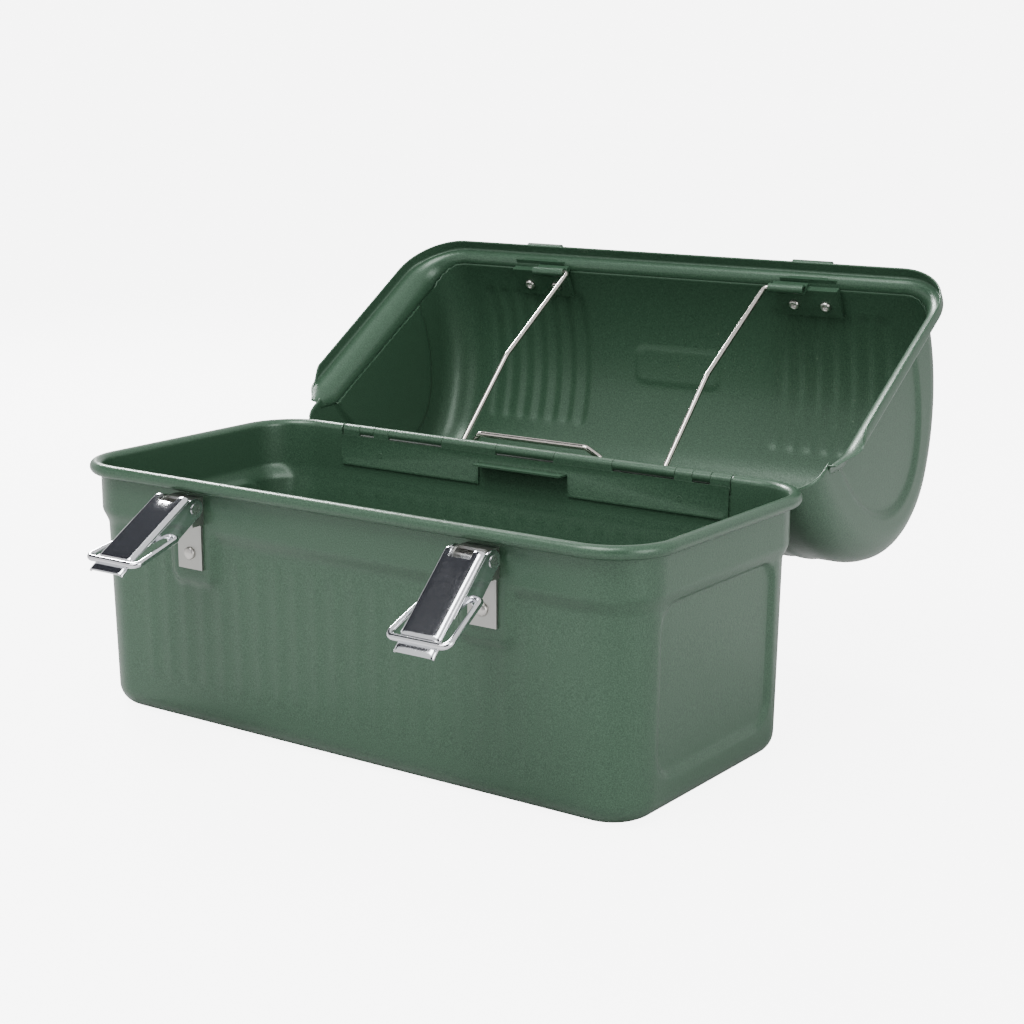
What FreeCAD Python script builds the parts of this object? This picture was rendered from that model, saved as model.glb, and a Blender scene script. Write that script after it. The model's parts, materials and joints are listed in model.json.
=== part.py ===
"""Metal lunch box: a deep pressed tub, a domed lid on a piano hinge, two draw latches, a bottle bail and a handle.

World frame: +X along the box, +Y to the hinge side, +Z up; the origin is the centre of the footprint on the table.
Lid pieces are drawn with the lid shut, from an origin on the hinge line (-Y runs forward), then tipped open.
"""
import FreeCAD, Part
import math
import os
import re
import Sketcher

from FreeCAD import Placement, Rotation, Vector

DIMENSIONS = [
    # tub
    ("rim_half_length", 162.0), ("rim_half_depth", 78.9), ("rim_top", 121.6), ("rim_radius", 3.1),
    ("rim_corner", 27.0), ("tub_sheet", 1.0), ("shoulder_inset", 2.8), ("shoulder_top", 97.5),
    ("shoulder_low", 92.0), ("foot_inset", 1.6), ("foot_corner", 20.5), ("foot_fillet", 10.0),
    # hinge
    ("hinge_back", 76.1), ("hinge_high", 118.8), ("barrel_radius", 2.8), ("pin_radius", 1.85),
    ("bore_radius", 1.9), ("hinge_half", 116.0), ("leaf_sheet", 0.9), ("base_leaf_drop", 18.0),
    ("base_leaf_offset", 1.5), ("lid_leaf_rise", 13.0), ("knuckle_gap", 0.2),
    ("tab_half", 27.0), ("tab_drop", 7.0), ("tab_reach", 6.0),
    ("centre_knuckle", 17.5), ("middle_knuckle_in", 51.3), ("middle_knuckle_out", 86.0),
    ("end_knuckle_in", 95.6), ("end_knuckle_out", 105.3),
    # lid
    ("lid_open", 146.87), ("lid_sheet", 0.6), ("dome_back", 1.3), ("dome_half_depth", 75.6),
    ("dome_spring", 6.0), ("dome_top", 102.3), ("dome_side_radius", 106.0), ("dome_half_length", 153.7),
    ("dome_end_radius", 17.0), ("lid_edge", 3.9), ("flange_half_length", 165.8), ("flange_front", 158.5),
    ("flange_corner", 30.0), ("flange_drop", 2.2), ("flange_start", 21.0),
    # latches
    ("latch_across", 83.5), ("lever_pivot_out", 7.1), ("lever_pivot_high", 109.3),
    ("lever_open_right", 45.6), ("lever_open_left", 59.0), ("lever_half", 9.3), ("lever_sheet", 1.0),
    ("lever_front", 7.0), ("lever_reach", 42.5), ("lever_flange_reach", 32.0), ("lip_reach", 52.0),
    ("latch_pin_radius", 1.6), ("lever_bore", 1.65), ("loop_back", 2.0), ("loop_drop", 17.5),
    ("loop_wire", 1.5), ("loop_bore", 1.58), ("loop_length", 29.5), ("loop_rest", 18.37),
    ("loop_half", 15.5), ("loop_neck", 12.4), ("bracket_sheet", 1.2), ("bracket_half", 7.4),
    ("bracket_low", 78.8), ("bracket_high", 113.6), ("ear_half", 8.1), ("pad_half", 14.4), ("pad_low", 70.5),
    ("rivet_shank", 2.0), ("rivet_head", 3.0), ("rivet_rise", 1.8), ("rivet_low", 86.2),
    ("rivet_high", 105.5),
    # keepers, bail brackets and the rivets they share
    ("lid_rivet_rise", 18.5), ("lid_rivet_apart", 9.0), ("keeper_sheet", 0.8), ("keeper_half", 11.0),
    ("keeper_gap", 1.6), ("keeper_trough", 1.87), ("bail_wire", 1.4), ("bail_bore", 1.45),
    ("bail_tube", 2.4),
    ("bail_pivot_forward", 146.3), ("bail_pivot_rise", 6.5), ("bail_half", 61.5),
    ("bail_kink_forward", 76.5),
    ("bail_kink_rise", 7.5), ("bail_end_forward", 7.4), ("bail_end_rise", 23.6), ("bail_nose_half", 32.0),
    ("bail_nose_drop", 2.5),
    # handle
    ("handle_pivot_rise", 6.2), ("handle_half", 50.0), ("handle_height", 38.0), ("handle_wire", 2.5),
    ("handle_bore", 2.55), ("handle_eye", 4.2), ("grip_radius", 8.0), ("grip_half", 36.0),
    ("handle_plate", 1.4), ("handle_rivet_apart", 10.5),
]

doc = FreeCAD.newDocument("lunch_box")
sheet = doc.addObject("Spreadsheet::Sheet", "Dims")
for row, (alias, value) in enumerate(DIMENSIONS, 1):
    sheet.set(f"A{row}", alias)
    sheet.set(f"B{row}", str(value))
    sheet.setAlias(f"B{row}", alias)
doc.recompute()
D = {alias: float(sheet.get(alias)) for alias, _ in DIMENSIONS}
PARTS = []


def formula(text):
    """A sheet expression from one that uses the bare cell names."""
    return re.sub(r"[a-z][a-z_]+", lambda word: "Dims." + word[0] if word[0] in D else word[0], str(text))


def bind(thing, **properties):
    """Bind properties, such as Radius or Placement_Base_x, to expressions on the sheet."""
    for name, text in properties.items():
        thing.setExpression(name.replace("_", "."), formula(text))
    return thing


def box(name, x, y, z):
    """A box between a low and a high expression on each axis."""
    item = doc.addObject("Part::Box", name)
    (x0, x1), (y0, y1), (z0, z1) = x, y, z
    bind(item, Length=f"({x1}) - ({x0})", Width=f"({y1}) - ({y0})", Height=f"({z1}) - ({z0})")
    return bind(item, Placement_Base_x=x0, Placement_Base_y=y0, Placement_Base_z=z0)


TURN = {
    "x": Rotation(Vector(0, 1, 0), 90),
    "y": Rotation(Vector(1, 0, 0), -90),
    "z": Rotation(),
}


def rod(name, radius, span, at, along="x"):
    """A cylinder of the given radius along one axis, over a span, at its two other coordinates."""
    item = doc.addObject("Part::Cylinder", name)
    item.Placement = Placement(Vector(), TURN[along])
    start = {"x": (span[0], *at), "y": (at[0], span[0], at[1]), "z": (*at, span[0])}[along]
    bind(item, Radius=radius, Height=f"({span[1]}) - ({span[0]})")
    return bind(item, Placement_Base_x=start[0], Placement_Base_y=start[1], Placement_Base_z=start[2])


def join(name, pieces):
    item = doc.addObject("Part::MultiFuse", name)
    item.Shapes = pieces
    item.Refine = True
    return item


def group(name, pieces):
    """Separate solids kept together as one node."""
    item = doc.addObject("Part::Compound", name)
    item.Links = pieces
    return item


def cut(name, base, tools):
    item = doc.addObject("Part::Cut", name)
    item.Base = base
    item.Tool = tools[0] if len(tools) == 1 else group(name + "_tools", tools)
    return item


def common(name, a, b):
    item = doc.addObject("Part::Common", name)
    item.Base = a
    item.Tool = b
    return item


def part(name, item):
    """Declare a finished sub-part: its Label is its node."""
    item.Label = name
    PARTS.append(item)
    return item


def on_lid(item):
    """Tip a piece drawn on the shut lid open about the hinge line."""
    item.Placement = Placement(Vector(), Rotation(Vector(1, 0, 0), -D["lid_open"]))
    return bind(item, Placement_Base_y="hinge_back", Placement_Base_z="hinge_high",
                Placement_Rotation_Angle="-lid_open")


def plane(body, role):
    return next(f for f in body.Origin.OriginFeatures if f.Role == role)


def sketch_on(body, name, role="XY_Plane", height="0"):
    """A sketch on one of the body's own origin planes, lifted along its normal."""
    sketch = body.newObject("Sketcher::SketchObject", name)
    sketch.AttachmentSupport = [(plane(body, role), "")]
    sketch.MapMode = "FlatFace"
    sketch.setExpression("AttachmentOffset.Base.z", formula(height))
    return sketch


def number(text):
    """The value of an expression, worked out by the sheet in a scratch cell."""
    sheet.set("D1", "=" + str(text))
    doc.recompute([sheet])
    return float(sheet.get("D1"))


def rounded_rectangle(sketch, half_x, half_y, corner):
    """A centred rectangle with round corners, held by its width, depth and corner radius."""
    w, d, r = number(half_x), number(half_y), number(corner)
    centres = [(w - r, -d + r), (w - r, d - r), (-w + r, d - r), (-w + r, -d + r)]
    ends = [((-w + r, -d), (w - r, -d)), ((w, -d + r), (w, d - r)), ((w - r, d), (-w + r, d)),
            ((-w, d - r), (-w, -d + r))]
    for a, b in ends:
        sketch.addGeometry(Part.LineSegment(Vector(*a, 0), Vector(*b, 0)))
    for turn, (x, y) in enumerate(centres):
        low = math.radians(-90 + 90 * turn)
        circle = Part.Circle(Vector(x, y, 0), Vector(0, 0, 1), r)
        sketch.addGeometry(Part.ArcOfCircle(circle, low, low + math.pi / 2))
    for side in range(4):
        sketch.addConstraint(Sketcher.Constraint("Tangent", side, 2, 4 + side, 1))
        sketch.addConstraint(Sketcher.Constraint("Tangent", 4 + side, 2, (side + 1) % 4, 1))
        sketch.addConstraint(Sketcher.Constraint("Vertical" if side % 2 else "Horizontal", side))
    for corner_arc in (5, 6, 7):
        sketch.addConstraint(Sketcher.Constraint("Equal", 4, corner_arc))
    sketch.addConstraint(Sketcher.Constraint("Symmetric", 0, 1, 2, 1, -1, 1))
    held = [("Radius", (4,), r, corner), ("DistanceX", (3, 1, 1, 1), 2 * w, f"2 * ({half_x})"),
            ("DistanceY", (0, 1, 2, 1), 2 * d, f"2 * ({half_y})")]
    for kind, ids, value, text in held:
        index = sketch.addConstraint(Sketcher.Constraint(kind, *ids, value))
        sketch.setExpression(f"Constraints[{index}]", formula(text))
    return sketch


def outline(sketch, corners):
    """A closed outline of straight sides, each corner held by its own pair of expressions."""
    points = [(number(x), number(y)) for x, y in corners]
    for here, there in zip(points, points[1:] + points[:1]):
        sketch.addGeometry(Part.LineSegment(Vector(*here, 0), Vector(*there, 0)))
    for side in range(len(points)):
        sketch.addConstraint(Sketcher.Constraint("Coincident", side, 2, (side + 1) % len(points), 1))
    for side, (x, y) in enumerate(corners):
        for kind, value, text in (("DistanceX", points[side][0], x), ("DistanceY", points[side][1], y)):
            index = sketch.addConstraint(Sketcher.Constraint(kind, -1, 1, side, 1, value))
            sketch.setExpression(f"Constraints[{index}]", formula(text))
    return sketch


def loft(body, name, sections, kind="AdditiveLoft"):
    feature = body.newObject("PartDesign::" + kind, name)
    feature.Profile = sections[0]
    feature.Sections = sections[1:]
    feature.Ruled = True
    return feature


def pad(body, name, profile, length, middle=False):
    feature = body.newObject("PartDesign::Pad", name)
    feature.Profile = profile
    feature.Midplane = middle
    feature.setExpression("Length", formula(length))
    return feature


def fillet(body, name, base, edges, radius):
    feature = body.newObject("PartDesign::Fillet", name)
    feature.Base = (base, edges)
    feature.setExpression("Radius", formula(radius))
    return feature


def edges_where(shape, test):
    return [f"Edge{n}" for n, edge in enumerate(shape.Edges, 1) if test(edge.BoundBox)]


def bent_path(corners, radii):
    """Straight runs through the corners, joined by tangent arcs."""
    edges, start = [], corners[0]
    for before, here, after, radius in zip(corners, corners[1:], corners[2:], radii):
        back, ahead = (before - here).normalize(), (after - here).normalize()
        half = back.getAngle(ahead) / 2
        reach = radius / math.tan(half)
        enter, leave = here + back * reach, here + ahead * reach
        middle = here + (back + ahead).normalize() * (radius / math.sin(half) - radius)
        edges += [Part.LineSegment(start, enter).toShape(), Part.Arc(enter, middle, leave).toShape()]
        start = leave
    edges.append(Part.LineSegment(start, corners[-1]).toShape())
    return Part.Wire(edges)


def wire(name, corners, radii, thickness):
    """Round wire bent along a path; its volume is compared with its section times its length."""
    path = bent_path(corners, radii)
    ahead = path.Edges[0].tangentAt(path.Edges[0].FirstParameter)
    ring = Part.Wire(Part.makeCircle(thickness, corners[0], ahead))
    solid = path.makePipeShell([ring], True, False)
    expected = math.pi * thickness**2 * path.Length
    if abs(solid.Volume / expected - 1) > 0.02:
        raise ValueError(f"{name}: swept {solid.Volume:.0f}, expected {expected:.0f}")
    item = doc.addObject("Part::Feature", name)
    item.Shape = solid
    return item


def rivet(name, shank, head, inner_head, at, along="y"):
    """A rivet along one axis: a shank over a span and a low dome head past each end."""
    pieces = [rod(name + "_shank", "rivet_shank", shank, at, along)]
    for side, (low, high) in (("head", head), ("tail", inner_head)):
        pieces.append(rod(f"{name}_{side}", "rivet_head", (low, high), at, along))
    return join(name, pieces)


def knuckles():
    """The lid leaf's knuckles as (low, high) expressions along the hinge."""
    spans = [("-centre_knuckle", "centre_knuckle")]
    for low, high in (("middle_knuckle_in", "middle_knuckle_out"), ("end_knuckle_in", "end_knuckle_out")):
        spans += [(low, high), (f"-{high}", f"-{low}")]
    return spans


SIDES = (("left", "-1"), ("right", "1"))
TUB_WALL = "(rim_half_depth - 2 * rim_radius)"
COLLAR_X = "rim_half_length - 2 * rim_radius + tub_sheet"
COLLAR_Y = "rim_half_depth - 2 * rim_radius + tub_sheet"


def base_shell():
    """The pressed tub: a drafted body, a shoulder, a collar and a rolled rim."""
    body = doc.addObject("PartDesign::Body", "tub_pressing")
    inner_corner = "rim_corner - rim_radius"

    def stack(shell, name, sheet_in, top):
        """Sections up the tub: the rounded foot, the drafted wall, the shoulder and the collar."""
        levels = []
        for step in range(4):
            turn = math.radians(30 * step)
            curve = f"(foot_fillet - {sheet_in} * tub_sheet)"
            inset = f"{curve} * {1 - math.sin(turn):.5f}"
            height = f"{sheet_in} * tub_sheet + {curve} * {1 - math.cos(turn):.5f}"
            levels.append((height, f"shoulder_inset + foot_inset * {1 - step * 0.03:.2f} + {inset}",
                           f"foot_corner - {inset}"))
        low_corner = f"{inner_corner} - shoulder_inset"
        levels += [("shoulder_low", "shoulder_inset", low_corner), ("shoulder_top", "0", inner_corner),
                   (top, "0", inner_corner)]
        sections = []
        for n, (height, inset, corner) in enumerate(levels):
            sketch = sketch_on(shell, f"{name}_{n}", height=height)
            take = f"({inset} + {sheet_in} * tub_sheet)"
            sections.append(rounded_rectangle(sketch, f"{COLLAR_X} - {take}", f"{COLLAR_Y} - {take}",
                                              f"{corner} + {1 - sheet_in} * tub_sheet"))
        loft(shell, name + "_loft", sections)
        doc.recompute()
        return shell

    stack(body, "tub_level", 0, "rim_top - rim_radius")
    cavity = stack(doc.addObject("PartDesign::Body", "tub_cavity"), "hollow_level", 1, "rim_top + 1")

    curl = doc.addObject("PartDesign::Body", "rim_curl")
    spine = rounded_rectangle(sketch_on(curl, "rim_line", height="rim_top - rim_radius"),
                              "rim_half_length - rim_radius", "rim_half_depth - rim_radius", "rim_corner")
    roll = sketch_on(curl, "rim_roll", "YZ_Plane")
    y, z = -(D["rim_half_depth"] - D["rim_radius"]), D["rim_top"] - D["rim_radius"]
    start, end = math.radians(-150 + 180), math.radians(0)
    for radius in (D["rim_radius"], D["rim_radius"] - D["tub_sheet"]):
        circle = Part.Circle(Vector(y, z, 0), Vector(0, 0, 1), radius)
        roll.addGeometry(Part.ArcOfCircle(circle, end, end + 2 * math.pi - start))
    for place in (1, 2):
        ends = [roll.getPoint(arc, place) for arc in (0, 1)]
        roll.addGeometry(Part.LineSegment(*ends))
        for arc in (0, 1):
            roll.addConstraint(Sketcher.Constraint("Coincident", arc, place, place + 1, arc + 1))
    roll.addConstraint(Sketcher.Constraint("Coincident", 0, 3, 1, 3))
    for arc, text in ((0, "rim_radius"), (1, "rim_radius - tub_sheet")):
        index = roll.addConstraint(Sketcher.Constraint("Radius", arc, number(text)))
        roll.setExpression(f"Constraints[{index}]", formula(text))
    pipe = curl.newObject("PartDesign::AdditivePipe", "rolled_edge")
    pipe.Profile = roll
    pipe.Spine = (spine, [f"Edge{n}" for n in range(1, 9)])
    doc.recompute()

    outside, inside = [], [cavity]
    for side, sign in SIDES:
        across = f"{sign} * latch_across"
        outside.append(box(f"pad_{side}", (f"{across} - pad_half", f"{across} + pad_half"),
                           (f"-({COLLAR_Y})", "-rim_half_depth + 12"), ("pad_low", "shoulder_top")))
        inside.append(box(f"pad_in_{side}", (f"{across} - pad_half + 1", f"{across} + pad_half - 1"),
                          (f"-({TUB_WALL})", "-rim_half_depth + 14"), ("pad_low + 1", "shoulder_top")))
        for n, high in enumerate(("rivet_low", "rivet_high")):
            inside.append(rod(f"tub_hole_{side}_{n}", "rivet_shank",
                              ("-rim_half_depth", "-rim_half_depth + 9"),
                              (across, high), "y"))
    inside.append(box("hinge_gap", ("-hinge_half - 0.6", "hinge_half + 0.6"), ("60", "90"),
                      ("hinge_high - 6.4", "140")))
    pressing = join("tub_sheet_metal", [body, curl, *outside])
    return part("base_shell", cut("base_shell_cut", pressing, inside))


def hinge():
    """Two leaves whose knuckles interleave on one pin along the back rim."""
    base_y, base_z = "hinge_back", "hinge_high"
    body = doc.addObject("PartDesign::Body", "base_leaf_plate")
    face = f"{base_y} - barrel_radius"
    inset = f"{face} - base_leaf_offset"
    corners = [(face, base_z), (face, f"{base_z} - 3.3"), (inset, f"{base_z} - 6.3"),
               (inset, f"{base_z} - base_leaf_drop"),
               (f"{inset} + leaf_sheet", f"{base_z} - base_leaf_drop"),
               (f"{inset} + leaf_sheet", f"{base_z} - 6"), (f"{face} + leaf_sheet", f"{base_z} - 3"),
               (f"{face} + leaf_sheet", base_z)]
    profile = outline(sketch_on(body, "leaf_section", "YZ_Plane"), corners)
    pad(body, "leaf_strip", profile, "2 * hinge_half", middle=True)
    doc.recompute()
    tab = box("bail_tab", ("-tab_half + 1", "tab_half - 1"),
              (f"{inset} - tab_reach", f"{inset} + leaf_sheet"),
              (f"{base_z} - tab_drop - leaf_sheet", f"{base_z} - tab_drop"))
    edges = ["-hinge_half", *[e for span in sorted(knuckles(), key=lambda s: number(s[0])) for e in span],
             "hinge_half"]
    base_spans = [(edges[n], edges[n + 1]) for n in range(0, len(edges), 2)]
    barrels = [rod(f"base_knuckle_{n}", "barrel_radius",
                   (f"{low} + {'0' if n == 0 else 'knuckle_gap'}",
                    f"{high} - {'0' if n == 5 else 'knuckle_gap'}"),
                   (base_y, base_z)) for n, (low, high) in enumerate(base_spans)]
    bore = rod("base_bore", "bore_radius", ("-hinge_half - 1", "hinge_half + 1"), (base_y, base_z))
    notch = box("leaf_notch", ("-tab_half", "tab_half"), ("60", "72.75"),
                (f"{base_z} - 30", f"{base_z} - tab_drop - 0.9"))
    slots = [box(f"leaf_slot_{n}", (low, high), (f"{face} - 1", f"{base_y} + 4"),
                 (f"{base_z} - 3.4", f"{base_z} + 4"))
             for n, (low, high) in enumerate(knuckles())]
    strip = cut("base_leaf_strip", body, [notch, *slots])
    part("hinge_base_leaf", cut("base_leaf_cut", join("base_leaf_joined", [strip, tab, *barrels]), [bore]))

    # the lid leaf, drawn on the shut lid
    plates = [box("lid_leaf_plate", ("-hinge_half", "hinge_half"),
                  ("-barrel_radius - 0.3", "-barrel_radius + leaf_sheet - 0.3"),
                  ("barrel_radius + 0.5", "lid_leaf_rise"))]
    for n, (low, high) in enumerate(knuckles()):
        span = (f"{low} + knuckle_gap / 2", f"{high} - knuckle_gap / 2")
        plates.append(box(f"lid_strap_{n}", span, ("-barrel_radius", "-barrel_radius + leaf_sheet"),
                          ("0", "barrel_radius + 1")))
        plates.append(rod(f"lid_knuckle_{n}", "barrel_radius", span, ("0", "0")))
    lid_bore = rod("lid_bore", "bore_radius", ("-hinge_half - 1", "hinge_half + 1"), ("0", "0"))
    part("hinge_lid_leaf", on_lid(cut("lid_leaf_cut", join("lid_leaf_joined", plates), [lid_bore])))
    part("hinge_pin", rod("pin", "pin_radius", ("-hinge_half + 2", "hinge_half - 2"), (base_y, base_z)))


def dome(name, half_depth, top, half_length, end_radius, low):
    """A solid barrel vault with rounded ends: upright sides, two flank arcs and a crown arc."""
    body = doc.addObject("PartDesign::Body", name)
    sketch = sketch_on(body, name + "_arch", "YZ_Plane")
    shrink = number(half_depth) - D["dome_half_depth"]
    w, t = number(half_depth), number(top)
    flank, spring = D["dome_side_radius"] + shrink, D["dome_spring"]
    centre_y = -(D["dome_back"] + D["dome_half_depth"])
    a, k = w - flank, spring - t
    crown = (flank**2 - a * a - k * k) / (2 * (flank + k))
    turn = math.atan2(t - crown - spring, -a)
    z0 = number(low)
    points = [(centre_y + w, z0), (centre_y + w, spring),
              (centre_y + a + flank * math.cos(turn), spring + flank * math.sin(turn))]
    points += [(2 * centre_y - y, z) for y, z in reversed(points)]
    side = Part.Circle(Vector(centre_y + a, spring, 0), Vector(0, 0, 1), flank)
    other = Part.Circle(Vector(centre_y - a, spring, 0), Vector(0, 0, 1), flank)
    middle = Part.Circle(Vector(centre_y, t - crown, 0), Vector(0, 0, 1), crown)
    sketch.addGeometry(Part.LineSegment(Vector(*points[0], 0), Vector(*points[1], 0)))
    sketch.addGeometry(Part.ArcOfCircle(side, 0, turn))
    sketch.addGeometry(Part.ArcOfCircle(middle, turn, math.pi - turn))
    sketch.addGeometry(Part.ArcOfCircle(other, math.pi - turn, math.pi))
    sketch.addGeometry(Part.LineSegment(Vector(*points[4], 0), Vector(*points[5], 0)))
    sketch.addGeometry(Part.LineSegment(Vector(*points[5], 0), Vector(*points[0], 0)))
    for a_geo, b_geo in ((0, 1), (1, 2), (2, 3), (3, 4)):
        sketch.addConstraint(Sketcher.Constraint("Tangent", a_geo, 2, b_geo, 1))
    sketch.addConstraint(Sketcher.Constraint("Coincident", 4, 2, 5, 1))
    sketch.addConstraint(Sketcher.Constraint("Coincident", 5, 2, 0, 1))
    sketch.addConstraint(Sketcher.Constraint("Horizontal", 5))
    sketch.addConstraint(Sketcher.Constraint("Vertical", 0))
    sketch.addConstraint(Sketcher.Constraint("Equal", 1, 3))
    vault = pad(body, name + "_vault", sketch, f"2 * ({half_length})", middle=True)
    doc.recompute()
    end = number(half_length)
    rim = edges_where(vault.Shape, lambda b: b.XLength < 0.01 and abs(abs(b.XMax) - end) < 0.01 and b.ZLength > 0.01)
    fillet(body, name + "_ends", vault, rim, end_radius)
    doc.recompute()
    return body


def lid_shell():
    """The domed lid: a thin vault, a stepped flange round three sides and its rivet holes."""
    outer = dome("dome_outer", "dome_half_depth", "dome_top", "dome_half_length", "dome_end_radius",
                 "lid_edge")
    inner = dome("dome_inner", "dome_half_depth - lid_sheet", "dome_top - lid_sheet",
                 "dome_half_length - lid_sheet", "dome_end_radius - lid_sheet", "lid_edge - 10")
    body = doc.addObject("PartDesign::Body", "flange_blank")
    step = rounded_rectangle(sketch_on(body, "flange_line", height="-flange_drop"),
                             "flange_half_length", "flange_front", "flange_corner")
    pad(body, "flange_pad", step, "lid_edge + lid_sheet + flange_drop")
    hollow = doc.addObject("PartDesign::Body", "flange_hollow")
    inside = rounded_rectangle(sketch_on(hollow, "flange_inside", height="-flange_drop - 1"),
                               "flange_half_length - lid_sheet", "flange_front - lid_sheet",
                               "flange_corner - lid_sheet")
    pad(hollow, "flange_inside_pad", inside, "lid_edge + flange_drop + 1")
    doc.recompute()
    behind = box("behind_flange", ("-200", "200"), ("-flange_start", "200"), ("-20", "20"))
    flange = cut("flange", body, [hollow, behind])
    vault = join("lid_metal", [outer, flange])
    holes = []
    front = "-(dome_back + 2 * dome_half_depth)"
    for side, sign in SIDES:
        for n, offset in enumerate(("-lid_rivet_apart", "lid_rivet_apart")):
            holes.append(rod(f"lid_hole_{side}_{n}", "rivet_shank", (f"{front} - 5", f"{front} + 12"),
                             (f"{sign} * latch_across + {offset}", "lid_rivet_rise"), "y"))
            holes.append(rod(f"crown_hole_{side}_{n}", "rivet_shank", ("dome_top - 12", "dome_top + 5"),
                             (f"{sign} * (handle_half + 4)",
                              f"-(dome_back + dome_half_depth) + {offset} / lid_rivet_apart * handle_rivet_apart"),
                             "z"))
    return part("lid_shell", on_lid(cut("lid_shell_cut", vault, [inner, *holes])))


def lid_front_hardware():
    """Outside keepers and inside bail brackets, which share two rivets on each side."""
    wall = number("dome_back + 2 * dome_half_depth")
    flank = D["dome_side_radius"]

    def wall_at(rise):
        """The outer face of the lid's front wall at a height, measured forward of the hinge."""
        return wall - flank + math.sqrt(flank**2 - max(0.0, rise - D["dome_spring"])**2)

    face = wall_at(number("lid_rivet_rise + 7"))
    lean = round(wall - face, 3)
    for side, sign in SIDES:
        across = f"{sign} * latch_across"
        plate = (f"{across} - keeper_half - 5", f"{across} + keeper_half + 5")
        hook = (f"{across} - keeper_half", f"{across} + keeper_half")
        lip = "-flange_front - 0.05"
        keeper = [
            box(f"keeper_plate_{side}", plate, (f"-{wall} - keeper_sheet", f"-{wall} + {lean}"),
                ("lid_edge + lid_sheet", "lid_rivet_rise + 7")),
            box(f"keeper_shelf_{side}", hook, (f"{lip} - keeper_sheet", f"-{wall}"),
                ("lid_edge + lid_sheet", "lid_edge + lid_sheet + keeper_sheet")),
            box(f"keeper_leg_{side}", hook, (f"{lip} - keeper_sheet", lip),
                ("keeper_trough", "lid_edge + lid_sheet + keeper_sheet")),
            box(f"keeper_tip_{side}", hook,
                (f"{lip} - 2 * keeper_sheet - 2 * keeper_gap", f"{lip} - keeper_sheet - 2 * keeper_gap"),
                ("keeper_trough", "keeper_trough + 1.7")),
        ]
        centre = f"{lip} - keeper_sheet - keeper_gap"
        ring = cut(f"keeper_ring_{side}", rod(f"keeper_round_{side}", "keeper_gap + keeper_sheet", hook,
                                              (centre, "keeper_trough")),
                   [rod(f"keeper_hollow_{side}", "keeper_gap", hook, (centre, "keeper_trough")),
                    box(f"keeper_over_{side}", hook, (f"{centre} - 5", f"{centre} + 5"),
                        ("keeper_trough", "keeper_trough + 9"))])
        blank = cut(f"keeper_trim_{side}", join(f"keeper_joined_{side}", [*keeper, ring]),
                    [doc.getObject("dome_outer")])
        rivet_spots = [(f"{across} {offset} lid_rivet_apart", "lid_rivet_rise") for offset in "-+"]
        span = (f"-{wall} - 5", f"-{wall} + 12")
        drill = [rod(f"keeper_drill_{side}_{n}", "rivet_shank", span, spot, "y") for n,
                 spot in enumerate(rivet_spots)]
        part(f"latch_keeper_{side}", on_lid(cut(f"keeper_cut_{side}", blank, drill)))

        # the bail bracket: a plate against the wall with its inner half curled round the bail
        inner_x = (f"{across} - 17.5", f"{across} + 17.5")
        tube_x = ("64", "84") if sign == "1" else ("-84", "-64")
        low = "bail_pivot_rise"
        back = f"-{wall} + lid_sheet"
        bracket = [
            box(f"bail_plate_{side}", inner_x, (back, f"{back} + 3.4"),
                ("bail_pivot_rise + 2", "lid_rivet_rise + 7")),
            box(f"bail_strap_{side}", tube_x, (back, "-bail_pivot_forward"), (low, "bail_pivot_rise + 2.4")),
            rod(f"bail_tube_{side}", "bail_tube", tube_x, ("-bail_pivot_forward", low)),
        ]
        body = common(f"bail_inside_{side}", join(f"bail_joined_{side}", bracket),
                      doc.getObject("dome_inner"))
        bore = rod(f"bail_bore_{side}", "bail_bore", ("-120", "120"), ("-bail_pivot_forward", low))
        drill_in = [rod(f"bail_drill_{side}_{n}", "rivet_shank", span, spot, "y") for n,
                    spot in enumerate(rivet_spots)]
        part(f"bail_bracket_{side}", on_lid(cut(f"bail_cut_{side}", body, [bore, *drill_in])))

        rivets = [rivet(f"lid_rivet_{side}_{n}", (f"-{wall} - keeper_sheet", f"{back} + 3.4"),
                        (f"-{wall} - keeper_sheet - rivet_rise", f"-{wall} - keeper_sheet"),
                        (f"{back} + 3.4", f"{back} + 3.4 + rivet_rise"), spot)
                  for n, spot in enumerate(rivet_spots)]
        part(f"lid_rivets_{side}", on_lid(group(f"lid_rivets_{side}_set", rivets)))


def bottle_bail():
    """The wire that holds a bottle up in the dome, with a nose that meets the tab on the base leaf."""
    half, nose = D["bail_half"], D["bail_nose_half"]
    pivot = (-D["bail_pivot_forward"], D["bail_pivot_rise"])
    end = (-D["bail_end_forward"], D["bail_end_rise"])
    right = [Vector(half + 20, *pivot), Vector(half, *pivot),
             Vector(half, -D["bail_kink_forward"], D["bail_kink_rise"]),
             Vector(half, *end), Vector(nose + 9, *end), Vector(nose + 6.5, -6.6, 4.0),
             Vector(nose, -6.4, -D["bail_nose_drop"])]
    left = [Vector(-p.x, p.y, p.z) for p in reversed(right)]
    radii = [2.4, 12, 8, 5, 5, 3]
    part("bottle_bail", on_lid(wire("bail_form", right + left, radii + radii[::-1], D["bail_wire"])))


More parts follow.
